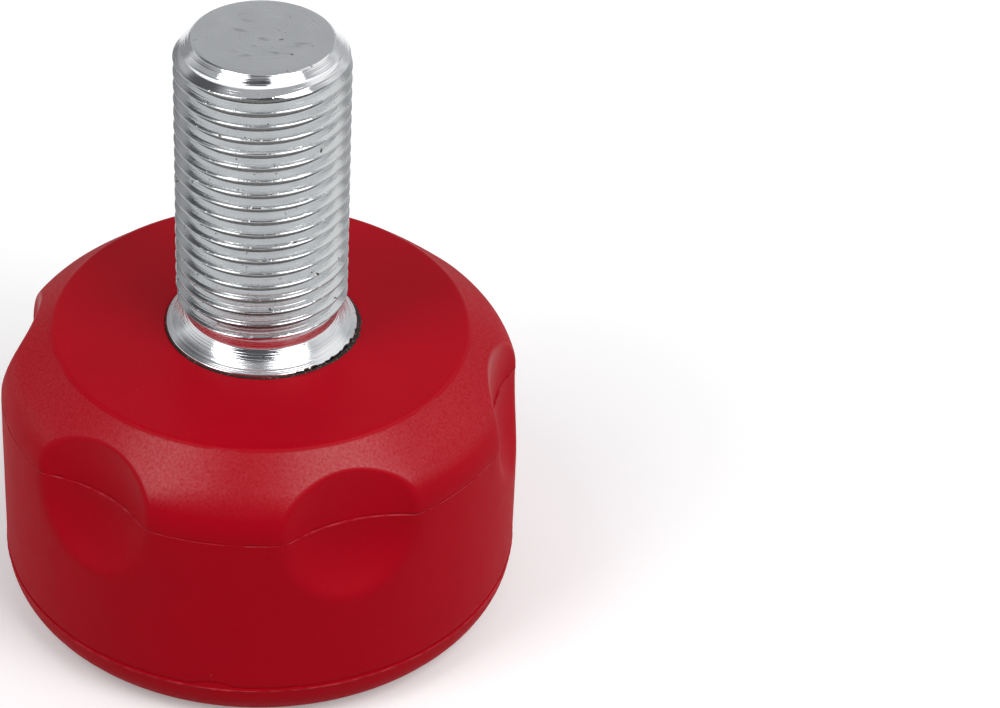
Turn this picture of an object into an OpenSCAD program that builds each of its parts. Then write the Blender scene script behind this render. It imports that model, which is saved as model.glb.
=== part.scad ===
// Roller skate toe stop: a threaded steel stem moulded into a scalloped rubber stopper.
// The origin is the centre of the braking face, and +Z runs up the stem to its tip.

/* [Stem] */
// Outside diameter of the thread, 5/8 inch
stem_d = 15.875; // [15:0.005:16.5]
// Length of stem above the collar's rim
stem_reach = 30.45; // [20:0.05:45]
// Height of the chamfer on the stem's tip
tip_chamfer = 1.6; // [0.5:0.1:2.5]
// Diameter of the neck where the thread ends
neck_d = 14.4; // [13:0.1:14.8]
// Length of the straight neck under the thread
neck_len = 1.1; // [0.4:0.1:4]
// Diameter of the flared collar
collar_d = 17.75; // [17:0.05:20]
// Thickness of the collar
collar_t = 3; // [1.5:0.1:5]
// How far the collar's rim stands above the rubber
collar_lip = 0.3; // [0.1:0.05:0.8]
// Diameter of the plain shank inside the rubber
shank_d = 14.4; // [12:0.1:16]
// Diameter of the spigot that carries the anchor plate
spigot_d = 10; // [7:0.5:11]
// Diameter of the spigot's riveted end
rivet_d = 13; // [12:0.5:16]
// Height of the riveted end
rivet_h = 1.8; // [1:0.1:3]

/* [Anchor plate] */
// Diameter of the anchor plate
anchor_d = 34; // [28:0.5:38]
// Thickness of the anchor plate
anchor_t = 3; // [2:0.25:4]
// Rubber between the braking face and the anchor plate
anchor_cover = 10.5; // [6:0.5:14]
// Number of keying holes in the anchor plate
key_count = 6; // [3:1:8]
// Diameter of a keying hole
key_d = 5; // [3:0.5:6]
// Diameter of the circle of keying holes
key_ring_d = 25; // [23:0.5:26]

/* [Rubber body] */
// Height of the rubber, braking face to flat top
body_h = 28.6; // [26:0.1:36]
// Diameter of the wall at its foot
body_d = 49.4; // [46:0.1:56]
// Draft of the wall below the parting line, degrees
wall_draft = 0.5; // [0:0.1:2]
// Radius of the round edge of the braking face
edge_r = 4.5; // [2:0.1:6]
// Diameter of the flat top
top_d = 38.7; // [34:0.1:42]
// Slope of the shoulder under the flat top, degrees
shoulder_angle = 40; // [30:1:45]
// Radius of the blend from shoulder to wall
shoulder_r = 5.5; // [2:0.1:6]
// Depth of the parting line below the flat top
line_drop = 7; // [6.5:0.1:9]
// Step in the wall at the parting line
line_step = 0.1; // [0:0.05:0.3]

/* [Scallops] */
// Number of scallops round the body
scallop_count = 6; // [3:1:8]
// Radius of a scallop above the parting line
scallop_r = 14.2; // [10:0.1:18]
// Depth of a scallop above the parting line
scallop_depth = 2.45; // [1:0.05:3.5]
// Inward lean of a scallop above the parting line, degrees
scallop_lean = 7; // [0:0.5:10]
// Radius of a scallop below the parting line
run_out_r = 15; // [13:0.1:18]
// Depth of a scallop below the parting line
run_out_depth = 2.25; // [1:0.05:3.5]
// Radius in side view of the scallop's lower end
run_out_end_r = 12; // [6:0.1:12.5]

/* [Bond] */
// Width of the bead round the collar
bead_w = 0.45; // [0.2:0.05:1]
// Depth of the bead in the rubber
bead_depth = 0.8; // [0.3:0.1:1.2]
// Height of the bead above the rubber
bead_h = 0.1; // [0:0.05:0.3]
// Clearance between pieces that are moulded together
mould_gap = 0.05; // [0.02:0.01:0.1]

/* [Hidden] */
$fn = 96;

stem_r = stem_d / 2;
neck_r = neck_d / 2;
collar_r = collar_d / 2;
flare_r = collar_r - neck_r;
rim_z = body_h + collar_lip;
neck_z = rim_z + flare_r;
thread_z = neck_z + neck_len;
tip_z = rim_z + stem_reach;
anchor_top_z = anchor_cover + anchor_t;
collar_bottom_z = rim_z - collar_t;

foot_r = body_d / 2;
top_r = top_d / 2;
line_z = body_h - line_drop;
line_r = foot_r - (line_z - edge_r) * tan(wall_draft);
upper_r = line_r - line_step;
shoulder_z = body_h - (upper_r - top_r) * tan(shoulder_angle);
blend_share = tan((90 - shoulder_angle) / 2);
blend_r = min(shoulder_r, (shoulder_z - line_z) / blend_share);
blend_reach = blend_r * blend_share;

// How far a cutter runs past the surface that it cuts
past = 1;

// Half section of the rubber below the parting line
module lower_section() {
    polygon([[0, 0], [foot_r - edge_r, 0], [foot_r, edge_r], [line_r, line_z], [0, line_z]]);
    translate([foot_r - edge_r, edge_r]) circle(edge_r);
}

// Half section of the shoulder, on a wall that runs down past the parting line
module upper_section() {
    blend_z = shoulder_z - blend_reach;
    polygon([
        [0, 0],
        [upper_r, 0],
        [upper_r, blend_z],
        [upper_r - blend_reach * cos(shoulder_angle), shoulder_z + blend_reach * sin(shoulder_angle)],
        [top_r, body_h],
        [0, body_h]
    ]);
    translate([upper_r - blend_r, blend_z]) circle(blend_r);
}

// Rubber below the line: each scallop is cut by a round nose that runs out to the wall
module lower_half() {
    nose_x = run_out_r - run_out_end_r;
    difference() {
        rotate_extrude() lower_section();
        for (i = [0 : scallop_count - 1])
            rotate(i * 360 / scallop_count)
                translate([line_r - run_out_depth + run_out_r, 0, line_z])
                    rotate_extrude() {
                        intersection() {
                            translate([nose_x, 0]) circle(run_out_end_r);
                            translate([0, -run_out_end_r]) square([run_out_r, run_out_end_r]);
                        }
                        square([run_out_r, past]);
                    }
    }
}

// Rubber above the line: each scallop is cut by a cylinder that leans towards the stem
module upper_half() {
    intersection() {
        difference() {
            rotate_extrude() upper_section();
            for (i = [0 : scallop_count - 1])
                rotate(i * 360 / scallop_count)
                    translate([upper_r - scallop_depth + scallop_r, 0, line_z])
                        rotate([0, -scallop_lean, 0])
                            cylinder(r = scallop_r, h = 4 * body_h, center = true);
        }
        translate([0, 0, line_z])
            cylinder(r = foot_r + past, h = line_drop + past);
    }
}

// Anchor plate, smaller or larger by a gap on every face
module plate_form(gap) {
    difference() {
        translate([0, 0, anchor_cover - gap])
            cylinder(d = anchor_d + 2 * gap, h = anchor_t + 2 * gap);
        for (i = [0 : key_count - 1])
            rotate(i * 360 / key_count)
                translate([key_ring_d / 2, 0, anchor_cover - gap - past])
                    cylinder(d = key_d - 2 * gap, h = anchor_t + 2 * (gap + past));
    }
}

// Room in the rubber for the metal and the bead
module mould_cavity() {
    gap = mould_gap;
    plate_form(gap);
    translate([0, 0, anchor_cover - rivet_h - gap])
        cylinder(d = rivet_d + 2 * gap, h = rivet_h + 2 * gap);
    translate([0, 0, anchor_cover])
        cylinder(d = shank_d + 2 * gap, h = body_h - anchor_cover + past);
    translate([0, 0, collar_bottom_z - gap])
        cylinder(d = collar_d + 2 * gap, h = collar_t + past);
    translate([0, 0, body_h - bead_depth - gap])
        cylinder(r = collar_r + bead_w + 2 * gap, h = bead_depth + gap + past);
}

module rubber_body() {
    color("#a80f22")
        difference() {
            union() {
                lower_half();
                upper_half();
            }
            mould_cavity();
        }
}

module stem() {
    color("#c4c7ca")
        rotate_extrude()
            difference() {
                polygon([
                    [0, anchor_cover - rivet_h],
                    [rivet_d / 2, anchor_cover - rivet_h],
                    [rivet_d / 2, anchor_cover],
                    [spigot_d / 2, anchor_cover],
                    [spigot_d / 2, anchor_top_z],
                    [shank_d / 2, anchor_top_z],
                    [shank_d / 2, collar_bottom_z],
                    [collar_r, collar_bottom_z],
                    [collar_r, neck_z],
                    [neck_r, neck_z],
                    [neck_r, thread_z],
                    [stem_r, thread_z + stem_r - neck_r],
                    [stem_r, tip_z - tip_chamfer],
                    [stem_r - tip_chamfer, tip_z],
                    [0, tip_z]
                ]);
                // the concave flare between neck and collar
                intersection() {
                    translate([collar_r, neck_z]) circle(flare_r);
                    translate([neck_r, rim_z]) square(flare_r);
                }
            }
}

module anchor_plate() {
    color("#8d9196")
        difference() {
            plate_form(0);
            translate([0, 0, anchor_cover - past])
                cylinder(d = spigot_d + 2 * mould_gap, h = anchor_t + 2 * past);
        }
}

module bond_bead() {
    color("#2b1d17")
        rotate_extrude()
            translate([collar_r + mould_gap, body_h - bead_depth])
                square([bead_w, bead_depth + bead_h]);
}

rubber_body();
stem();
anchor_plate();
bond_bead();
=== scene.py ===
from math import atan2, cos, degrees, hypot, pi, radians, sin, sqrt, tan

import bpy
from mathutils import Matrix, Vector, noise


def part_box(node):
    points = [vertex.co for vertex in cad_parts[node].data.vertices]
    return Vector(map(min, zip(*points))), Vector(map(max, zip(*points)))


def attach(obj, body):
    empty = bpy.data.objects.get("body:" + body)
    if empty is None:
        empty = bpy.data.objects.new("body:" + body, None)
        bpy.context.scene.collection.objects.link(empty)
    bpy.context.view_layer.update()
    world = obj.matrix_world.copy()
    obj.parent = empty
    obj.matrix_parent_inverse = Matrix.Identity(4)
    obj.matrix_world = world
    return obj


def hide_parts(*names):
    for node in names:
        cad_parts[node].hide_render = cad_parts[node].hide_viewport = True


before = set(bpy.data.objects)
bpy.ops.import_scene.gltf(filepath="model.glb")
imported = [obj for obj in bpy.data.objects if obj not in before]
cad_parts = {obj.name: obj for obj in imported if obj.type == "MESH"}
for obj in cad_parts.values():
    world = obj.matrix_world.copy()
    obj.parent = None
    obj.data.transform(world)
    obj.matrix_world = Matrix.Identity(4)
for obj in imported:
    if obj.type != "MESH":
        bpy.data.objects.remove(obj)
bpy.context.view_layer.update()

mm = 0.001
mergeGap = 0.002 * mm     # points nearer to each other than this become one
levelGap = 0.001 * mm     # points nearer to a height than this lie on it
print("frame loaded")


# small tools for modelling by operator

def pick(piece):
    # object mode, with this piece alone selected, or nothing
    if bpy.context.object and bpy.context.object.mode != "OBJECT":
        bpy.ops.object.mode_set(mode="OBJECT")
    bpy.ops.object.select_all(action="DESELECT")
    if piece:
        piece.select_set(True)
        bpy.context.view_layer.objects.active = piece


def selectOnly(piece, kind, test):
    # edit mode, with only the points, edges or faces that pass the test selected
    lists = {"VERT": "vertices", "EDGE": "edges", "FACE": "polygons"}
    pick(piece)
    bpy.ops.object.mode_set(mode="EDIT")
    bpy.ops.mesh.select_mode(type=kind)
    bpy.ops.mesh.select_all(action="DESELECT")
    bpy.ops.object.mode_set(mode="OBJECT")
    for element in getattr(piece.data, lists[kind]):
        element.select = test(element)
    bpy.ops.object.mode_set(mode="EDIT")


def straight(start, end, spacing):
    # points from start up to, not with, end
    out, up = end[0] - start[0], end[1] - start[1]
    count = max(1, round(hypot(out, up) / spacing))
    return [(start[0] + out * i / count, start[1] + up * i / count) for i in range(count)]


def curved(centre, radius, fromAngle, toAngle, spacing):
    # points on an arc, angles in degrees, with both ends
    count = max(2, round(abs(radians(toAngle - fromAngle)) * radius / spacing))
    angles = [radians(fromAngle + (toAngle - fromAngle) * i / count) for i in range(count + 1)]
    return [(centre[0] + radius * cos(angle), centre[1] + radius * sin(angle)) for angle in angles]


def draw(name, outline, fromAngle):
    # a vertex is drawn along the outline (radius and height in mm) in the plane at an angle
    along = (cos(radians(fromAngle)) * mm, sin(radians(fromAngle)) * mm)
    startR, startZ = outline[0]
    pick(None)
    bpy.ops.mesh.primitive_plane_add(size=mm)
    piece = bpy.context.object
    piece.name = name
    bpy.ops.object.mode_set(mode="EDIT")
    bpy.ops.mesh.select_all(action="SELECT")
    bpy.ops.mesh.merge(type="CENTER")
    bpy.ops.transform.translate(value=(startR * along[0], startR * along[1], startZ * mm))
    for here, there in zip(outline, outline[1:]):
        out, up = there[0] - here[0], there[1] - here[1]
        bpy.ops.mesh.extrude_region_move(
            TRANSFORM_OT_translate={"value": (out * along[0], out * along[1], up * mm)})
    bpy.ops.mesh.select_all(action="SELECT")
    return piece


def turn(name, outline, steps, fromAngle=0, sweep=360):
    # the outline spun round Z, clockwise from its angle
    piece = draw(name, outline, fromAngle)
    bpy.ops.mesh.spin(steps=steps, angle=radians(sweep), center=(0, 0, 0), axis=(0, 0, 1))
    tidyMesh(piece)
    return piece


def tidyMesh(piece, openEnds=False):
    # doubles merged, open ends closed and faces turned outwards
    if piece.mode != "EDIT":
        pick(piece)
        bpy.ops.object.mode_set(mode="EDIT")
    bpy.ops.mesh.select_all(action="SELECT")
    bpy.ops.mesh.remove_doubles(threshold=mergeGap)
    if openEnds:
        bpy.ops.mesh.fill_holes(sides=0)
        bpy.ops.mesh.select_all(action="SELECT")
    bpy.ops.mesh.normals_make_consistent(inside=False)
    bpy.ops.object.mode_set(mode="OBJECT")


def applyModifier(piece, kind, **settings):
    pick(piece)
    modifier = piece.modifiers.new(kind.lower(), kind)
    for key, value in settings.items():
        setattr(modifier, key, value)
    bpy.ops.object.modifier_apply(modifier=modifier.name)


def group(piece, name, test):
    # vertex group of the points that pass the test, given in mm
    members = piece.vertex_groups.new(name=name)
    members.add([v.index for v in piece.data.vertices if test(v.co / mm)], 1.0, "REPLACE")
    return members.name


def smoothShade(piece, sharpest):
    # smooth faces, with edges over this many degrees left sharp
    pick(piece)
    bpy.ops.object.shade_smooth_by_angle(angle=radians(sharpest))
    print(piece.name, len(piece.data.polygons), "faces")


# camera at the photograph's viewpoint

view = {
    "turn": 10.0,          # degrees round the stem from the front
    "distance": 237.1,     # mm from the stem's axis
    "height": 200.45,      # mm above the braking face
    "yaw": 5.413,          # degrees to the right of the stem
    "pitch": 36.404,       # degrees below the horizon
    "roll": 3.402,         # degrees, frame leaning left
    "lens": 112.6,         # mm
    "sensor": 36.0,        # mm wide
}

pick(None)
bpy.ops.object.camera_add()
camera = bpy.context.object
camera.data.sensor_fit = "HORIZONTAL"
camera.data.sensor_width = view["sensor"]
camera.data.lens = view["lens"]
camera.data.clip_start = 0.01
heading = radians(view["turn"])
place = Vector((view["distance"] * sin(heading), -view["distance"] * cos(heading), view["height"])) * mm
camera.matrix_world = (
    Matrix.Translation(place)
    @ Matrix.Rotation(radians(view["turn"] - view["yaw"]), 4, "Z")
    @ Matrix.Rotation(radians(90 - view["pitch"]), 4, "X")
    @ Matrix.Rotation(radians(view["roll"]), 4, "Z")
)
bpy.context.scene.camera = camera
print("camera set")


# rubber body: two mould halves, each turned, scalloped and softened, that meet at the parting line

bodyHigh = Vector(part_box("rubber_body")[1]) / mm

# lengths are in mm here and in the next two dictionaries
rubber = {
    "footRadius": bodyHigh.x - 0.1,    # the flash ridge takes the last 0.1 mm
    "height": bodyHigh.z,
    "edgeRadius": 4.4,                 # round edge of the braking face
    "draft": 0.5,                      # degrees
    "lineDrop": 7.0,                   # parting line below the flat top
    "lineStep": 0.05,                  # step in the wall at the parting line
    "topRadius": 19.35,
    "topEdge": 0.6,                    # rounding of the flat top's edge
    "shoulderSlope": 40.0,             # degrees
    "shoulderBlend": 5.5,
    "mouthRadius": 9.0,                # lip that closes in on the collar
    "mouthLip": 0.15,                  # rounding of that lip
    "mouthDepth": 0.85,
    "seatRadius": 8.93,                # round the collar
    "seatDepth": 2.75,
    "shankRadius": 7.25,
    "plateRadius": 17.05,
    "plateLow": 10.45,
    "plateHigh": 13.55,
    "rivetRadius": 6.55,
    "rivetLow": 8.65,
    "scallops": 6,
    "upperRadius": 14.2,
    "upperDepth": 2.22,
    "upperLean": 6.6,                  # degrees towards the stem
    "upperLength": 80.0,               # of the cutter
    "upperSides": 720,
    "lowerRadius": 15.0,
    "lowerDepth": 2.2,
    "lowerNose": 12.0,
    "lowerSides": 480,
    "overlap": 2.5,                    # how far a half runs past the line before it is trimmed
    "scallopInset": 3.0,               # inside the flat top's edge, further in than any scallop
    "wallInset": 1.0,                  # likewise, but not as far in as the room for the plate
    "scallopDrop": 9.5,                # below the parting line, further down than any scallop
    "fineDrop": 9.0,                   # where the fine mesh of the wall starts
    "softShare": 0.9,                  # of the width of a scallop's sector is softened
    "softTop": 0.01,                   # under the flat top, where the softening stops
    "upperSoftening": 8,               # smoothing rounds on the scallops' edges
    "lowerSoftening": 40,
    "sharpest": 45,                    # degrees, steeper edges stay sharp
    "segments": 480,
    # between the points of the outlines
    "spacing": {"face": 4.0, "edge": 0.45, "wall": 0.7, "scallop": 0.2, "topEdge": 0.1, "top": 0.6,
                "lip": 0.06, "nose": 0.15},
    # flash ridge with a groove over it, out from the foot and up from the round edge
    "ridge": ((0.04, 0.05), (0.04, 0.12), (0.0, 0.18), (0.01, 0.27),
              (-0.09, 0.3), (-0.09, 0.4), (-0.03, 0.5), (-0.01, 0.8)),
    "lineFlash": 0.015,                # ragged flash at the parting line
    "edgeFlash": 0.05,                 # ragged flash on the ridge's first two rings
    "flashSeeds": (4, 7, 9),
    "stray": 0.07,                     # how far the ridge strays up and down
    "strayLength": 5.0,                # along the wall
    "strayLow": 0.01,                  # heights above the round edge: the lowest that strays,
    "ridgeTop": 0.21,                  # the top of the ridge,
    "grooveMiddle": 0.35,              # the middle of the groove,
    "strayFade": 2.0,                  # and how far above that the wall is still again
    "flapAngle": -90.5,                # degrees round the stem, where the ridge is torn into a flap
    "flapHalf": 4.5,                   # degrees
    "flapRise": 0.45,
    "flapDrop": 0.22,
    "flapAside": 0.9,                  # how far the drop lies to one side, in its own half widths
}
sector = 360 / rubber["scallops"]
lineZ = rubber["height"] - rubber["lineDrop"]
lineR = rubber["footRadius"] - (lineZ - rubber["edgeRadius"]) * tan(radians(rubber["draft"]))
upperR = lineR - rubber["lineStep"]
scallopInside = rubber["topRadius"] - rubber["scallopInset"]
wallInside = rubber["topRadius"] - rubber["wallInset"]


def lowerOutline():
    # braking face, round edge, flash ridge and drafted wall, on past the parting line
    foot, edge, spacing = rubber["footRadius"], rubber["edgeRadius"], rubber["spacing"]
    slope = tan(radians(rubber["draft"]))
    levels = (lineZ - rubber["fineDrop"], lineZ + rubber["overlap"])
    fineStart, end = [(foot - (level - edge) * slope, level) for level in levels]
    ridge = [(foot + out, edge + up) for out, up in rubber["ridge"]]
    points = straight((0, 0), (foot - edge, 0), spacing["face"])
    points += curved((foot - edge, edge), edge, -90, 0, spacing["edge"])
    points += ridge[:-1]
    points += straight(ridge[-1], fineStart, spacing["wall"])
    points += straight(fineStart, end, spacing["scallop"])
    return points


def upperOutline():
    # wall from below the parting line, shoulder, flat top, mouth and the room for the metal
    height, top, edge = rubber["height"], rubber["topRadius"], rubber["topEdge"]
    blend, mouth, lip = rubber["shoulderBlend"], rubber["mouthRadius"], rubber["mouthLip"]
    spacing = rubber["spacing"]
    slope = radians(rubber["shoulderSlope"])
    outward = 90 - rubber["shoulderSlope"]     # the way the slope faces
    cornerZ = height - (upperR - top) * tan(slope)
    reach = blend * tan((pi / 2 - slope) / 2)
    blendCentre = (upperR - blend, cornerZ - reach)
    topCentre = (top - edge * tan(slope / 2), height - edge)
    coneLow = (upperR - reach * cos(slope), cornerZ + reach * sin(slope))
    coneHigh = (topCentre[0] + edge * sin(slope), topCentre[1] + edge * cos(slope))
    points = straight((upperR, lineZ - rubber["overlap"]), (upperR, blendCentre[1]), spacing["scallop"])
    points += curved(blendCentre, blend, 0, outward, spacing["scallop"])
    points += straight(coneLow, coneHigh, spacing["scallop"])[1:]
    points += curved(topCentre, edge, outward, 90, spacing["topEdge"])
    points += straight((topCentre[0] - spacing["scallop"], height), (mouth + lip, height), spacing["top"])
    points += curved((mouth + lip, height - lip), lip, 90, 180, spacing["lip"])
    # each wall of the room goes down to a level, where the next one starts
    walls = [(mouth, height - rubber["mouthDepth"]), (rubber["seatRadius"], height - rubber["seatDepth"]),
             (rubber["shankRadius"], rubber["plateHigh"]), (rubber["plateRadius"], rubber["plateLow"]),
             (rubber["rivetRadius"], rubber["rivetLow"])]
    nextRadii = [radius for radius, level in walls[1:]] + [0]
    for (radius, level), nextRadius in zip(walls, nextRadii):
        points += [(radius, level), (nextRadius, level)]
    return points


def upperCutter():
    # cylinder that leans towards the stem
    pick(None)
    bpy.ops.mesh.primitive_cylinder_add(
        vertices=rubber["upperSides"], radius=rubber["upperRadius"] * mm, depth=rubber["upperLength"] * mm,
        location=((upperR - rubber["upperDepth"] + rubber["upperRadius"]) * mm, 0, lineZ * mm),
        rotation=(0, radians(-rubber["upperLean"]), 0))
    return bpy.context.object


def lowerCutter():
    # round nose, straight above the line
    radius, nose, top = rubber["lowerRadius"], rubber["lowerNose"], 2 * rubber["overlap"]
    noseX = radius - nose
    noseAngle = degrees(atan2(-sqrt(nose ** 2 - noseX ** 2), -noseX))
    outline = curved((noseX, 0), nose, noseAngle, 0, rubber["spacing"]["nose"])
    outline[0] = (0, outline[0][1])     # closed on the axis
    outline += [(radius, top), (0, top)]
    cutter = draw("scallopNose", outline, 0)
    bpy.ops.object.mode_set(mode="OBJECT")
    applyModifier(cutter, "SCREW", axis="Z", angle=2 * pi,
                  steps=rubber["lowerSides"], render_steps=rubber["lowerSides"])
    tidyMesh(cutter)
    bpy.ops.transform.translate(value=((lineR - rubber["lowerDepth"] + radius) * mm, 0, lineZ * mm))
    return cutter


def mouldHalf(name, outline, cutter, softening):
    # one sector of a half, pushed out of its cutter, with the edges of the scallop softened
    half = turn(name, outline, round(rubber["segments"] / rubber["scallops"]), sector / 2, sector)
    lowest, highest = lineZ - rubber["scallopDrop"], rubber["height"] - rubber["softTop"]
    aside = tan(radians(sector / 2 * rubber["softShare"]))
    reached = group(half, "reached", lambda p: p.x > scallopInside and p.z > lowest)
    soft = group(half, "soft", lambda p: p.x > scallopInside and abs(p.y) < p.x * aside
                 and lowest < p.z < highest)
    plain = [v.co.copy() for v in half.data.vertices]
    applyModifier(half, "SHRINKWRAP", target=cutter, wrap_mode="OUTSIDE", vertex_group=reached)
    applyModifier(half, "SMOOTH", factor=0.5, iterations=softening, vertex_group=soft)
    half.vertex_groups.clear()
    # how far each point left the turned shape, for the material
    cut = half.data.attributes.new("scallopCut", "FLOAT", "POINT")
    cut.data.foreach_set("value", [(v.co - was).length / mm for v, was in zip(half.data.vertices, plain)])
    bpy.data.objects.remove(cutter)
    return half


def trimAtLine(half, keepAbove):
    # the outer wall is cut at the parting line
    selectOnly(half, "FACE", lambda face: face.center.xy.length > wallInside * mm)
    bpy.ops.mesh.bisect(plane_co=(0, 0, lineZ * mm), plane_no=(0, 0, 1), threshold=levelGap / 2,
                        clear_inner=keepAbove, clear_outer=not keepAbove)
    bpy.ops.object.mode_set(mode="OBJECT")


def onRing(vertex, ringZ):
    # on the outer wall at this height
    return abs(vertex.co.z - ringZ * mm) < levelGap and vertex.co.xy.length > scallopInside * mm


def bridgeHalves(body):
    # the two cut edges become the ledge at the parting line
    atLine = [onRing(v, lineZ) for v in body.data.vertices]
    selectOnly(body, "EDGE", lambda edge: atLine[edge.vertices[0]] and atLine[edge.vertices[1]])
    bpy.ops.mesh.bridge_edge_loops()
    bpy.ops.object.mode_set(mode="OBJECT")


def tearFlash(body):
    # moulding flash is never even: three rings of points are shaken, each by a fixed seed
    rings = [(lineZ, rubber["lineFlash"])]
    rings += [(rubber["edgeRadius"] + up, rubber["edgeFlash"]) for out, up in rubber["ridge"][:2]]
    for (ringZ, amount), seed in zip(rings, rubber["flashSeeds"]):
        selectOnly(body, "VERT", lambda v: onRing(v, ringZ))
        bpy.ops.transform.vertex_random(offset=amount * mm, uniform=0.0, normal=0.0, seed=seed)
        bpy.ops.object.mode_set(mode="OBJECT")


def strayFlash(body):
    # the lower flash strays up and down, and hangs in a torn flap at one place
    heights = (rubber["strayLow"], rubber["ridgeTop"], rubber["grooveMiddle"])
    lowest, ridgeZ, grooveZ = [rubber["edgeRadius"] + up for up in heights]
    fade = rubber["strayFade"]
    for v in body.data.vertices:
        z = v.co.z / mm
        if v.co.xy.length < scallopInside * mm or not lowest < z < grooveZ + fade:
            continue
        along = (degrees(atan2(v.co.y, v.co.x)) - rubber["flapAngle"]) / rubber["flapHalf"]
        flap = max(0, 1 - along ** 2)
        torn = max(0, 1 - (2 * along - rubber["flapAside"]) ** 2)
        lift = rubber["stray"] * noise.noise(v.co.xy.to_3d() / (rubber["strayLength"] * mm))
        if z > ridgeZ:
            lift = (lift + rubber["flapRise"] * flap) * min(1, 1 - (z - grooveZ) / fade)
        else:
            lift -= rubber["flapDrop"] * torn
        v.co.z += lift * mm


lowerHalf = mouldHalf("lowerHalf", lowerOutline(), lowerCutter(), rubber["lowerSoftening"])
rubberBody = mouldHalf("rubberBody", upperOutline(), upperCutter(), rubber["upperSoftening"])
trimAtLine(lowerHalf, False)
trimAtLine(rubberBody, True)
pick(rubberBody)
lowerHalf.select_set(True)
bpy.ops.object.join()
bridgeHalves(rubberBody)
# the finished sector is copied round the stem
bpy.ops.object.mode_set(mode="EDIT")
bpy.ops.mesh.select_all(action="SELECT")
bpy.ops.mesh.spin(steps=rubber["scallops"] - 1, dupli=True, angle=radians(360 - sector),
                  center=(0, 0, 0), axis=(0, 0, 1))
tidyMesh(rubberBody)
tearFlash(rubberBody)
strayFlash(rubberBody)
smoothShade(rubberBody, rubber["sharpest"])


# stem: turned blank with the thread cut out of it

stemLow, stemHigh = [Vector(corner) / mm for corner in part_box("stem")]

stem = {
    "threadRadius": 7.9375,        # 5/8 inch over the crests
    "pitch": 25.4 / 18,            # 18 turns to the inch
    "rootRadius": 7.07,
    "flankAngle": 30.0,            # degrees
    "crestHalf": 0.03,             # half the flat of a crest
    "crestBreak": 0.065,           # broken corners of a crest
    "cutterPast": 0.1,             # how far the groove's cutter stands out past the crests
    "cutterGap": 0.004,            # half the gap between its turns there
    "spareTurns": 3,               # so that it runs out past the tip
    "grooveAngle": -80.0,          # where a groove passes grooveZ
    "grooveZ": 57.03,
    "tipZ": stemHigh.z,
    "tipChamfer": 1.6,
    "chamferAngle": 45.0,          # degrees
    "tipRound": 0.45,              # broken corners of the chamfer
    "tipRing": 3.0,                # ring of points on the tip face
    "neckRadius": 7.06,            # just under the root, so the thread fades out into it
    "neckLength": 0.76,
    "neckFillet": 0.4,             # under the neck the flare first turns tightly
    "flareAngles": (33.0, 64.0),   # then opens slowly, degrees of its normal
    "rimZ": bodyHigh.z + 0.3,      # the collar stands 0.3 mm out of the rubber
    "rimBreak": (0.05, 0.06),      # broken corner of the rim, in and down
    "collarRadius": stemHigh.x,
    "collarThickness": 3.0,
    "shankRadius": 7.2,
    "plateLow": 10.5,
    "plateHigh": 13.5,
    "spigotRadius": 5.0,
    "rivetRadius": 6.5,
    "rivetLow": stemLow.z,
    "rivetChamfer": 0.5,
    "sharpest": 12,                # degrees, so the flanks stay flat beside the crests
    "segments": 144,
    "spacing": {"flare": 0.12, "fillet": 0.08, "tip": 0.03},    # between the outline's points
}


def stemOutline():
    # riveted end, spigot, shank, collar, flare, neck, blank of the thread and chamfered tip
    rim, collar, neck, fillet = stem["rimZ"], stem["collarRadius"], stem["neckRadius"], stem["neckFillet"]
    rivet, rivetLow, chamfer = stem["rivetRadius"], stem["rivetLow"], stem["rivetChamfer"]
    spigot, shank, collarLow = stem["spigotRadius"], stem["shankRadius"], rim - stem["collarThickness"]
    crest, tip, small, spacing = stem["threadRadius"], stem["tipZ"], stem["tipRound"], stem["spacing"]
    points = [(0, rivetLow), (rivet - chamfer, rivetLow), (rivet, rivetLow + chamfer)]
    points += [(rivet, stem["plateLow"]), (spigot, stem["plateLow"])]
    points += [(spigot, stem["plateHigh"]), (shank, stem["plateHigh"])]
    points += [(shank, collarLow), (collar, collarLow), (collar, rim - stem["rimBreak"][1])]
    # the flare's arc touches the fillet's where its normal reaches the upper angle
    upper, lower = [radians(angle) for angle in stem["flareAngles"]]
    lip = collar - stem["rimBreak"][0]
    flare = (lip - neck - fillet * (1 - cos(upper))) / (cos(upper) - cos(lower))
    flareCentre = (lip + flare * cos(lower), rim + flare * sin(lower))
    filletCentre = (neck + fillet, flareCentre[1] - (flare - fillet) * sin(upper))
    points += curved(flareCentre, flare, 180 + degrees(lower), 180 + degrees(upper), spacing["flare"])[:-1]
    points += curved(filletCentre, fillet, 180 + degrees(upper), 180, spacing["fillet"])
    threadZ = filletCentre[1] + stem["neckLength"]
    points += [(neck, threadZ), (crest, threadZ + crest - neck)]
    # chamfer with broken corners
    facing = stem["chamferAngle"]
    edge = small * tan(radians(facing / 2))
    lowCentre = (crest - small, tip - stem["tipChamfer"] - edge)
    highCentre = (crest - stem["tipChamfer"] - edge, tip - small)
    points += curved(lowCentre, small, 0, facing, spacing["tip"])
    points += curved(highCentre, small, facing, 90, spacing["tip"])
    points += [(stem["tipRing"], tip), (0, tip)]
    return points, threadZ


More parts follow.
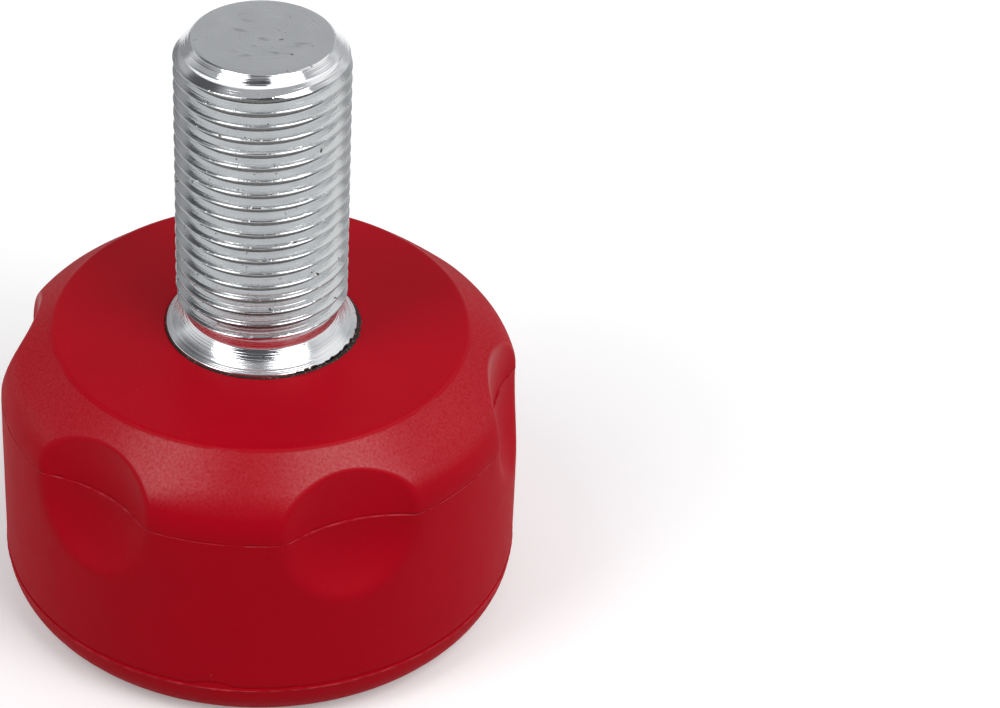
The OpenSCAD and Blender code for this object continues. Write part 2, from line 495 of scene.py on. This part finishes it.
def threadGroove(threadZ):
    # section of one groove, swept up past the tip by a screw
    pitch, half = stem["pitch"], stem["pitch"] / 2
    crest, root, corner = stem["threadRadius"], stem["rootRadius"], stem["crestBreak"]
    top = half - stem["crestHalf"]
    flankTop = top - corner
    rootHalf = flankTop - (crest - corner - root) * tan(radians(stem["flankAngle"]))
    side = [(rootHalf, root), (flankTop, crest - corner), (top, crest)]
    side += [(half - stem["cutterGap"], crest + stem["cutterPast"])]
    section = [(-up, radius) for up, radius in reversed(side)] + side
    # the groove starts in the neck, on the far side from grooveAngle
    turnsBelow = int((stem["grooveZ"] - threadZ) / pitch) + 0.5
    startZ = stem["grooveZ"] - pitch * turnsBelow
    outline = [(radius, startZ + up) for up, radius in section]
    cutter = draw("threadGroove", outline + outline[:1], stem["grooveAngle"] + 180)
    bpy.ops.mesh.remove_doubles(threshold=mergeGap)
    bpy.ops.object.mode_set(mode="OBJECT")
    turns = int((stem["tipZ"] - threadZ) / pitch) + stem["spareTurns"]
    applyModifier(cutter, "SCREW", axis="Z", angle=2 * pi, screw_offset=pitch * mm, iterations=turns,
                  steps=stem["segments"], render_steps=stem["segments"], use_merge_vertices=False)
    tidyMesh(cutter, openEnds=True)
    return cutter


stemLine, threadZ = stemOutline()
threadedStem = turn("threadedStem", stemLine, stem["segments"])
groove = threadGroove(threadZ)
applyModifier(threadedStem, "BOOLEAN", object=groove, operation="DIFFERENCE", solver="MANIFOLD")
bpy.data.objects.remove(groove)
smoothShade(threadedStem, stem["sharpest"])


# bond bead: thin ragged crust squeezed out between collar and rubber

bead = {
    "innerRadius": 8.88,
    "topZ": bodyHigh.z + 0.1,
    "depth": 0.9,
    "thinWidth": 0.13,
    "thickWidth": 0.42,
    "leastWidth": 0.08,
    "thickAngle": -5.0,        # degrees round the stem, where the most came out
    "thickSpread": 32.0,       # degrees to each side
    "ragged": 0.1,             # how far the edge strays
    "raggedThin": 0.7,         # share of that where the crust is thin, and 1 more where it is thick
    "crumb": 0.5,              # length of a stray along the edge
    "tears": ((1.0, 1.0, 3.1), (0.6, 2.7, 9.4)),    # share, fineness and row of each layer of noise
    # top of the section, from the rubber in to the collar: share of the width, and height from topZ
    "crown": ((1.0, -0.11), (0.85, -0.06), (0.5, -0.02), (0.2, 0.0), (0.0, 0.0)),
    "sharpest": 60,            # degrees
    "segments": 640,
}


def beadWidth(angle):
    off = (degrees(angle) - bead["thickAngle"] + 180) % 360 - 180
    share = 1 / (1 + (off / bead["thickSpread"]) ** 4)
    edge = bead["innerRadius"] * angle / bead["crumb"]
    torn = sum(part * noise.noise(Vector((edge * finer, row, 0))) for part, finer, row in bead["tears"])
    width = bead["thinWidth"] + (bead["thickWidth"] - bead["thinWidth"]) * share
    return max(bead["leastWidth"], width + bead["ragged"] * (bead["raggedThin"] + share) * torn)


def bondCrust():
    inner, top = bead["innerRadius"], bead["topZ"]
    low = top - bead["depth"]
    section = [(inner, low), (inner + 1, low)]
    section += [(inner + share, top + up) for share, up in bead["crown"]]
    section += [(inner, low)]
    crust = turn("bondBead", section, bead["segments"])
    # a width of 1 in the section becomes the torn width at each angle
    for vertex in crust.data.vertices:
        angle = atan2(vertex.co.y, vertex.co.x)
        radius = hypot(vertex.co.x, vertex.co.y) / mm
        wide = (inner + (radius - inner) * beadWidth(angle)) * mm
        vertex.co = (wide * cos(angle), wide * sin(angle), vertex.co.z)
    return crust


bondBead = bondCrust()
smoothShade(bondBead, bead["sharpest"])


# materials

def hexColour(code):
    values = [int(code[i:i + 2], 16) / 255 for i in (1, 3, 5)]
    return [v / 12.92 if v <= 0.04045 else ((v + 0.055) / 1.055) ** 2.4 for v in values] + [1]


def metres(lengths):
    return [length * mm for length in lengths]


def addNode(tree, kind, inputs, **settings):
    node = tree.nodes.new(kind)
    for key, value in settings.items():
        setattr(node, key, value)
    for key, value in inputs.items():
        if isinstance(value, bpy.types.NodeSocket):
            tree.links.new(value, node.inputs[key])
        else:
            node.inputs[key].default_value = value
    return node


def calculate(tree, operation, *values):
    return addNode(tree, "ShaderNodeMath", dict(enumerate(values)), operation=operation).outputs[0]


def ramp(tree, value, ends, levels=(0.0, 1.0), **settings):
    # the first level up to the first end, then a change to the second level, reached at the second end
    return addNode(tree, "ShaderNodeMapRange", {
        "Value": value, "From Min": ends[0], "From Max": ends[1],
        "To Min": levels[0], "To Max": levels[1]}, **settings).outputs[0]


def mixNumbers(tree, share, first, second):
    return addNode(tree, "ShaderNodeMix", {0: share, 2: first, 3: second}).outputs[0]


def mixColours(tree, share, *colours):
    # two colours, each a hex code or a socket
    first, second = [hexColour(colour) if isinstance(colour, str) else colour for colour in colours]
    return addNode(tree, "ShaderNodeMix", {0: share, 6: first, 7: second}, data_type="RGBA").outputs[2]


def addNoise(tree, place, across, detail):
    # spots this many mm across
    return addNode(tree, "ShaderNodeTexNoise", {
        "Vector": place, "Scale": 1 / (across * mm), "Detail": detail}).outputs["Fac"]


def newMaterial(name):
    # the material, its node tree and the place on the object
    material = bpy.data.materials.new(name)
    material.use_nodes = True
    tree = material.node_tree
    tree.nodes.clear()
    return material, tree, addNode(tree, "ShaderNodeTexCoord", {}).outputs["Object"]


# in these dictionaries a noise is given by mm across and levels of detail,
# and "Between" marks the values that a change starts and ends at
rubberLook = {
    "reds": ("#A20015", "#B60018"),
    "grainShare": 0.45,               # of the grain in the mottle of the reds
    "noise": {
        "grain": (0.25, 3.0),         # of the mould, drawn so coarse that it shows
        "mottle": (6.0, 5.0),
        "tears": (1.2, 4.0),
        "satin": (1.5, 3.0),
    },
    "grainDepth": 0.025,              # mm
    "grainStrength": 0.5,
    "dust": "#B4323C",
    "dustCell": 3.0,                  # mm
    "dustBetween": (0.02, 0.045),     # of a cell, from the middle of a speck
    "dustless": 0.8,                  # share of the cells that have none
    # painted lines on the wall, a painted shade over the parting line and painted highlights along the
    # flash: height, half width, colour and the most that it covers
    "paintedLines": (
        (lineZ + 0.12, 0.065, "#60000C", 0.75),                      # painted shade in the corner over the parting line's ledge
        (lineZ, 0.045, "#D4505A", 0.55),                             # painted highlight along the parting line's flash
        # painted highlight along the flash ridge over the round edge
        (rubber["edgeRadius"] + 0.08, 0.08, "#D4505A", 0.55),
    ),
    "paintedLineLeast": 0.05,                # that any of them covers
    "paintedBreaksBetween": (0.4, 0.65),
    "roughWall": 0.56,
    "roughTop": 0.32,
    "roughBetween": (lineZ + 1, lineZ + 4.5),
    "roughMore": 0.12,                # at most, by the satin noise
    "roughSlope": 0.95,
    # the polished slope, from nothing to all: above the wall, below the flat top, clear of the scallops
    "slopeLow": (lineZ + 2.4, lineZ + 3.6),
    "slopeHigh": (rubber["height"] - 0.02, rubber["height"] - 0.3),
    "slopeCut": (0.03, 0.01),         # mm
    "shine": (0.06, 0.148),           # weight of the shine, least and most by the grain
    "shineBetween": (0.3, 0.7),
}


def mouldedRubber(look):
    # cherry red rubber straight from the mould: saturated and faintly mottled, dull on the wall, satin on
    # the flat top, and with a grainy shine over dull rubber where the mould was polished
    material, tree, place = newMaterial("mouldedRubber")
    height = addNode(tree, "ShaderNodeSeparateXYZ", {"Vector": place}).outputs["Z"]
    noises = {name: addNoise(tree, place, *kind) for name, kind in look["noise"].items()}
    blotch = mixNumbers(tree, look["grainShare"], noises["mottle"], noises["grain"])
    surface = mixColours(tree, blotch, *look["reds"])
    # specks of dust
    cells = addNode(tree, "ShaderNodeTexVoronoi", {
        "Vector": place, "Scale": 1 / (look["dustCell"] * mm)}).outputs
    speck = ramp(tree, cells["Distance"], look["dustBetween"], (1.0, 0.0))
    cellShade = addNode(tree, "ShaderNodeSeparateColor", {"Color": cells["Color"]}).outputs[0]
    chosen = calculate(tree, "GREATER_THAN", cellShade, look["dustless"])
    dust = calculate(tree, "MULTIPLY", speck, chosen)
    surface = mixColours(tree, dust, surface, look["dust"])
    # broken painted lines: painted shade over the parting line, painted highlights along the flash
    for middle, half, shade, most in look["paintedLines"]:
        onPaintedLine = calculate(tree, "COMPARE", height, middle * mm, half * mm)
        torn = ramp(tree, noises["tears"], look["paintedBreaksBetween"], (look["paintedLineLeast"], most))
        share = calculate(tree, "MULTIPLY", onPaintedLine, torn)
        surface = mixColours(tree, share, surface, shade)
    # where the slope is
    cut = addNode(tree, "ShaderNodeAttribute", {}, attribute_name="scallopCut").outputs["Fac"]
    above, below = [ramp(tree, height, metres(look[name])) for name in ("slopeLow", "slopeHigh")]
    uncut = ramp(tree, cut, look["slopeCut"])
    onSlope = calculate(tree, "MULTIPLY", calculate(tree, "MULTIPLY", above, below), uncut)
    # roughness
    finish = ramp(tree, height, metres(look["roughBetween"]), (look["roughWall"], look["roughTop"]))
    rough = calculate(tree, "MULTIPLY_ADD", noises["satin"], look["roughMore"], finish)
    dull = mixNumbers(tree, onSlope, rough, look["roughSlope"])
    # the shine on the slope
    shine = ramp(tree, noises["grain"], look["shineBetween"], look["shine"])
    polish = calculate(tree, "MULTIPLY", shine, onSlope)
    bump = addNode(tree, "ShaderNodeBump", {
        "Height": noises["grain"], "Strength": look["grainStrength"], "Distance": look["grainDepth"] * mm})
    shader = addNode(tree, "ShaderNodeBsdfPrincipled", {
        "Base Color": surface, "Roughness": dull, "IOR": 1.52,
        "Specular IOR Level": 0.075, "Normal": bump.outputs["Normal"],
        "Coat Weight": polish, "Coat Roughness": 0.33, "Coat IOR": 3.0})
    addNode(tree, "ShaderNodeOutputMaterial", {"Surface": shader.outputs["BSDF"]})
    return material


zincLook = {
    "turned": ("#E2E4E6", "#F5F6F8"),     # turned faces are cloudy, and brighter
    "rolled": ("#C4C6C7", "#D4D6D7"),     # than the rolled thread
    "tipAsRolled": 0.6,                   # the tip face lies between the two
    "paintedCrestShade": "#6A6C6F",                  # painted shade on the crest flats, a painted dark reflection
    "paintedCrestDepth": 0.012,                 # mm
    "paintedCrestShare": 0.45,
    "rootShadeAndResidue": "#3A3634",                 # painted shade in the roots, with some residue
    "rootShadeShare": 0.85,
    "rootShadeBetween": (0.02, 0.06),       # mm above the root
    "bareSteel": "#57504A",               # specks
    "specksBetween": (0.69, 0.74),
    "smear": "#6E7074",                   # on the tip face
    "smearShare": 0.7,
    "smearTurn": 0.2,                     # radians
    "smearsPerMm": (0.35, 1.1),           # along and across
    "smearDetail": 5.0,
    "smearsBetween": (0.58, 0.74),
    "reachBetween": (2.5, 5.0),           # mm from the middle, where the smears fade
    "bond": "#2A1C14",                    # crumbs stuck to the collar's rim
    "bondReach": 0.4,                     # mm in from the rim
    "bondSide": 7.0,                      # mm along x, beyond which they are thickest
    "bondElsewhere": 0.55,                # how thick they are on the other side
    "crumbsBetween": (0.4, 0.48),
    "noise": {
        "cloud": (2.5, 4.0),
        "nicks": (0.5, 3.0),
        "specks": (0.7, 4.0),
        "skin": (0.22, 2.0),              # of plating on the thread
        "crumbs": (0.7, 5.0),
    },
    "ringWidth": 0.3,                     # mm, turning rings drawn so coarse that they show
    "ringDetail": 3.0,
    "ringRough": 0.6,
    "ringDepth": 0.15,                    # mm
    "ringStrength": (0.55, 0.25),         # on the turned faces and on the thread
    "skinDepth": 0.03,                    # mm
    "skinStrength": 0.3,
    "nicksBetween": (0.6, 0.72),
    "nickReach": 0.25,                    # mm in from the crests
    "nickShare": 0.6,
    "nickDepth": 0.05,                    # mm
    "nickStrength": 0.8,
    "threadBetween": (0.3, 0.6),          # mm above the neck, for the thread's finish
    "tipBetween": (0.04, 0.01),           # mm below the tip, for the tip face's
    "chamferFade": 0.1,                   # mm below the chamfer, where its finish starts
    "roughSatin": (0.11, 0.17),           # flanks, by the cloud
    "satinBetween": (0.3, 0.7),
    "roughChamfer": 0.09,
    "roughTip": 0.42,
}


def zincPlate(look):
    # bright zinc over turned steel: light grey satin flanks, fine turning rings, a bright chamfer,
    # a matt tip face, painted shade and some residue in the roots, painted shade on the crest flats, a few
    # nicks and specks
    material, tree, place = newMaterial("zincPlatedSteel")
    axes = addNode(tree, "ShaderNodeSeparateXYZ", {"Vector": place}).outputs
    height = axes["Z"]
    flat = addNode(tree, "ShaderNodeVectorMath", {0: place, 1: (1, 1, 0)}, operation="MULTIPLY")
    radius = addNode(tree, "ShaderNodeVectorMath", {
        0: flat.outputs[0]}, operation="LENGTH").outputs["Value"]
    noises = {name: addNoise(tree, place, *kind) for name, kind in look["noise"].items()}
    # where the thread, the tip face and the chamfer are
    chamferZ = stem["tipZ"] - stem["tipChamfer"]
    threadEnds = [threadZ + up for up in look["threadBetween"]]
    tipEnds = [stem["tipZ"] - down for down in look["tipBetween"]]
    chamferEnds = [chamferZ - look["chamferFade"], chamferZ]
    onThread, onTip, onChamfer = [
        ramp(tree, height, metres(ends)) for ends in (threadEnds, tipEnds, chamferEnds)]
    onRoots = calculate(tree, "SUBTRACT", onThread, onChamfer)
    # residue in the roots
    # painted shade in the roots, with some residue
    rootEnds = [stem["rootRadius"] + out for out in look["rootShadeBetween"]]
    deep = ramp(tree, radius, metres(rootEnds), (look["rootShadeShare"], 0.0))
    rootShadeAndResidue = calculate(tree, "MULTIPLY", deep, onRoots)
    # turning rings, which follow the helix on the thread
    back = calculate(tree, "MULTIPLY", axes["Y"], -1.0)
    angle = calculate(tree, "ARCTAN2", axes["X"], back)
    climb = calculate(tree, "MULTIPLY_ADD", angle, -stem["pitch"] * mm / (2 * pi), height)
    track = mixNumbers(tree, onThread, height, climb)
    lathe = addNode(tree, "ShaderNodeCombineXYZ", {"X": radius, "Y": track})
    rings = addNode(tree, "ShaderNodeTexNoise", {
        "Vector": lathe.outputs[0], "Scale": 1 / (look["ringWidth"] * mm),
        "Detail": look["ringDetail"], "Roughness": look["ringRough"]})
    ringStrength = ramp(tree, onThread, (0.0, 1.0), look["ringStrength"])
    # nicks along the crests and specks of bare steel
    crestR = stem["threadRadius"]
    nick = ramp(tree, noises["nicks"], look["nicksBetween"])
    crest = ramp(tree, radius, metres((crestR - look["nickReach"], crestR)), (0.0, look["nickShare"]))
    onCrest = calculate(tree, "MULTIPLY", crest, onThread)
    nickedCrest = calculate(tree, "MULTIPLY", nick, onCrest)
    speck = ramp(tree, noises["specks"], look["specksBetween"])
    # crest flats painted darker as a painted dark reflection, and the skin of plating on the thread
    onCrestFlat = calculate(tree, "GREATER_THAN", radius, (crestR - look["paintedCrestDepth"]) * mm)
    crestFlatOnThread = calculate(tree, "MULTIPLY", onCrestFlat, onRoots)
    paintedCrestShade = calculate(tree, "MULTIPLY", crestFlatOnThread, look["paintedCrestShare"])
    skinStrength = calculate(tree, "MULTIPLY", onRoots, look["skinStrength"])
    # smears across the tip face
    along, across = look["smearsPerMm"]
    smearPlace = addNode(tree, "ShaderNodeMapping", {
        "Vector": place, "Rotation": (0, 0, look["smearTurn"]), "Scale": (along / mm, across / mm, 1)})
    smears = addNode(tree, "ShaderNodeTexNoise", {
        "Vector": smearPlace.outputs[0], "Scale": 1.0, "Detail": look["smearDetail"]})
    smear = ramp(tree, smears.outputs["Fac"], look["smearsBetween"], (0.0, look["smearShare"]))
    middle = ramp(tree, radius, metres(look["reachBetween"]), (1.0, 0.0))
    onMiddle = calculate(tree, "MULTIPLY", middle, onTip)
    tipSmear = calculate(tree, "MULTIPLY", smear, onMiddle)
    # crumbs of bond on the collar's rim, mostly on one side
    collarR = stem["collarRadius"]
    rim = ramp(tree, radius, metres((collarR - look["bondReach"], collarR)))
    side = ramp(tree, axes["X"], (0.0, look["bondSide"] * mm), (look["bondElsewhere"], 1.0))
    near = calculate(tree, "MULTIPLY", rim, side)
    stuck = calculate(tree, "MULTIPLY", near, noises["crumbs"])
    crumb = ramp(tree, stuck, look["crumbsBetween"])
    # colour: turned or rolled, then each mark over the last
    turned, rolled = [mixColours(tree, noises["cloud"], *look[name]) for name in ("turned", "rolled")]
    asRolled = calculate(tree, "MULTIPLY_ADD", onTip, look["tipAsRolled"], onRoots)
    surface = mixColours(tree, asRolled, turned, rolled)
    # the painted shade in the roots and on the crest flats goes on with the real marks
    marks = {"paintedCrestShade": paintedCrestShade, "rootShadeAndResidue": rootShadeAndResidue, "bareSteel": speck, "smear": tipSmear, "bond": crumb}
    for name, share in marks.items():
        surface = mixColours(tree, share, surface, look[name])
    satin = ramp(tree, noises["cloud"], look["satinBetween"], look["roughSatin"])
    bright = mixNumbers(tree, onChamfer, satin, look["roughChamfer"])
    matt = mixNumbers(tree, onTip, bright, look["roughTip"])
    ringBump = addNode(tree, "ShaderNodeBump", {
        "Height": rings.outputs["Fac"], "Strength": ringStrength, "Distance": look["ringDepth"] * mm})
    skinBump = addNode(tree, "ShaderNodeBump", {
        "Height": noises["skin"], "Strength": skinStrength, "Distance": look["skinDepth"] * mm,
        "Normal": ringBump.outputs["Normal"]})
    nickBump = addNode(tree, "ShaderNodeBump", {
        "Height": nickedCrest, "Strength": look["nickStrength"], "Distance": look["nickDepth"] * mm,
        "Normal": skinBump.outputs["Normal"]}, invert=True)
    shader = addNode(tree, "ShaderNodeBsdfPrincipled", {
        "Base Color": surface, "Metallic": 1.0, "Roughness": matt,
        "Normal": nickBump.outputs["Normal"]})
    addNode(tree, "ShaderNodeOutputMaterial", {"Surface": shader.outputs["BSDF"]})
    return material


bondLook = {
    "browns": ("#0A0605", "#2A1B12"),
    "crumbs": (0.4, 4.0),
    "gritColour": "#76685A",              # pale grit caught in it, about 0.2 mm across
    "grit": (0.3, 2.0),
    "gritBetween": (0.6, 0.7),
}


def bondCompound(look):
    # cured bonding compound: dark brown, matt and gritty
    material, tree, place = newMaterial("bondCompound")
    brown = mixColours(tree, addNoise(tree, place, *look["crumbs"]), *look["browns"])
    caught = ramp(tree, addNoise(tree, place, *look["grit"]), look["gritBetween"])
    gritty = mixColours(tree, caught, brown, look["gritColour"])
    shader = addNode(tree, "ShaderNodeBsdfPrincipled", {"Base Color": gritty, "Roughness": 0.7})
    addNode(tree, "ShaderNodeOutputMaterial", {"Surface": shader.outputs["BSDF"]})
    return material


steelLook = {
    "grey": "#8D9196",
    "scale": (3.0, 5.0),
    "rough": (0.35, 0.6),                 # least and most, by the scale
}


def stampedSteel(look):
    # plain stamped steel, only seen in a cut
    material, tree, place = newMaterial("stampedSteel")
    rough = ramp(tree, addNoise(tree, place, *look["scale"]), (0.0, 1.0), look["rough"])
    shader = addNode(tree, "ShaderNodeBsdfPrincipled", {
        "Base Color": hexColour(look["grey"]), "Metallic": 1.0, "Roughness": rough})
    addNode(tree, "ShaderNodeOutputMaterial", {"Surface": shader.outputs["BSDF"]})
    return material


def dress(piece, material, node):
    piece.data.materials.clear()
    piece.data.materials.append(material)
    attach(piece, "root")
    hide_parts(node)


dress(rubberBody, mouldedRubber(rubberLook), "rubber_body")
dress(threadedStem, zincPlate(zincLook), "stem")
dress(bondBead, bondCompound(bondLook), "bond_bead")
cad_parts["anchor_plate"].material_slots[0].material = stampedSteel(steelLook)
print("materials set")


# stage and light

paperLook = {
    "shown": "#FCFCFC",
    "thrown": "#B0B0AE",           # greyer for the light that it throws back at the object
    "lift": (0.16, 0.36),          # glow that keeps it white, near the object and away from the lamps
    "liftBetween": (0.05, 0.15),   # m from the object
}


def whitePaper(look):
    # matt white paper
    material, tree, place = newMaterial("whitePaper")
    ray = addNode(tree, "ShaderNodeLightPath", {}).outputs
    seen = calculate(tree, "MAXIMUM", ray["Is Camera Ray"], ray["Is Glossy Ray"])
    shown = calculate(tree, "MAXIMUM", seen, ray["Is Transmission Ray"])
    colour = mixColours(tree, shown, look["thrown"], look["shown"])
    paper = addNode(tree, "ShaderNodeBsdfDiffuse", {"Color": colour})
    away = addNode(tree, "ShaderNodeVectorMath", {0: place}, operation="LENGTH").outputs["Value"]
    need = ramp(tree, away, look["liftBetween"], look["lift"])
    lift = calculate(tree, "MULTIPLY", shown, need)
    glow = addNode(tree, "ShaderNodeEmission", {"Color": hexColour("#FFFFFF"), "Strength": lift})
    shader = addNode(tree, "ShaderNodeAddShader", {0: paper.outputs[0], 1: glow.outputs[0]})
    addNode(tree, "ShaderNodeOutputMaterial", {"Surface": shader.outputs[0]})
    return material


pick(None)
bpy.ops.mesh.primitive_circle_add(vertices=96, radius=2.0, fill_type="NGON")
floor = bpy.context.object
floor.name = "studioFloor"
floor.data.materials.append(whitePaper(paperLook))


def toward(right, above):
    # direction out from the object, degrees right of the camera and above the floor
    bearing, lift = radians(view["turn"] - 90 + right), radians(above)
    return Vector((cos(bearing) * cos(lift), sin(bearing) * cos(lift), sin(lift)))


# soft boxes round the object, distance and sides in m
softboxes = {
    "leftSoftbox": {"turn": -56, "rise": 43, "away": 0.7, "sides": (0.27, 0.66), "strength": 3.3},
    "rightSoftbox": {"turn": 46, "rise": 43, "away": 0.7, "sides": (0.38, 0.66), "strength": 3.7},
}
for name, box in softboxes.items():
    spot = toward(box["turn"], box["rise"]) * box["away"]
    pick(None)
    bpy.ops.object.light_add(type="AREA", location=spot)
    lamp = bpy.context.object
    lamp.name = name
    lamp.data.shape = "RECTANGLE"
    lamp.data.size, lamp.data.size_y = box["sides"]
    lamp.data.energy = box["strength"] * pi * box["sides"][0] * box["sides"][1]
    lamp.rotation_euler = (-spot).to_track_quat("-Z", "Y").to_euler()

# a grey room, paler low down where the paper sweeps up, and darker on the side of the camera
room = {
    "walls": "#AEAFB1",
    "sweep": "#E6E7E8",
    "sweepBetween": (0.2, 0.5),    # sine of the height, where the sweep starts to fade and where it ends
    "cameraSide": "#505054",
    "cameraBetween": (0.3, 0.55),  # cosine from the camera's bearing, where it starts and where it is full
}
# flags and cards on both sides, full and gone in degrees from their middle: the sides of the chamfer
# and of the shoulder mirror the low ones, and the thread's flanks the high ones
cards = {
    "lowFlag": {"turn": -141, "rise": 0, "full": 18, "gone": 28, "colour": "#929395"},
    "lowCard": {"turn": 140, "rise": -5, "full": 15, "gone": 26, "colour": "#BCBDBF"},
    "darkFlag": {"turn": -117, "rise": 48, "full": 10, "gone": 20, "colour": "#56575A"},
    "whiteCard": {"turn": 114, "rise": 46, "full": 13, "gone": 24, "colour": "#FFFFFF"},
}

world = bpy.data.worlds.new("studio")
bpy.context.scene.world = world
world.use_nodes = True
roomTree = world.node_tree
roomTree.nodes.clear()
across = addNode(roomTree, "ShaderNodeTexCoord", {}).outputs["Generated"]
rise = addNode(roomTree, "ShaderNodeSeparateXYZ", {"Vector": across}).outputs["Z"]
sweep = ramp(roomTree, rise, room["sweepBetween"], (1.0, 0.0), interpolation_type="SMOOTHSTEP")
hung = mixColours(roomTree, sweep, room["walls"], room["sweep"])
for card in cards.values():
    toCard = addNode(roomTree, "ShaderNodeVectorMath", {
        0: across, 1: toward(card["turn"], card["rise"])}, operation="DOT_PRODUCT").outputs["Value"]
    ends = [cos(radians(card[name])) for name in ("gone", "full")]
    share = ramp(roomTree, toCard, ends, interpolation_type="SMOOTHSTEP")
    hung = mixColours(roomTree, share, hung, card["colour"])
front = addNode(roomTree, "ShaderNodeVectorMath", {
    0: across, 1: toward(0, 0)}, operation="DOT_PRODUCT").outputs["Value"]
shade = ramp(roomTree, front, room["cameraBetween"], interpolation_type="SMOOTHSTEP")
grey = mixColours(roomTree, shade, hung, room["cameraSide"])
glow = addNode(roomTree, "ShaderNodeBackground", {"Color": grey, "Strength": 1.0})
addNode(roomTree, "ShaderNodeOutputWorld", {"Surface": glow.outputs[0]})
bpy.context.scene.view_settings.view_transform = "Standard"
print("stage lit")
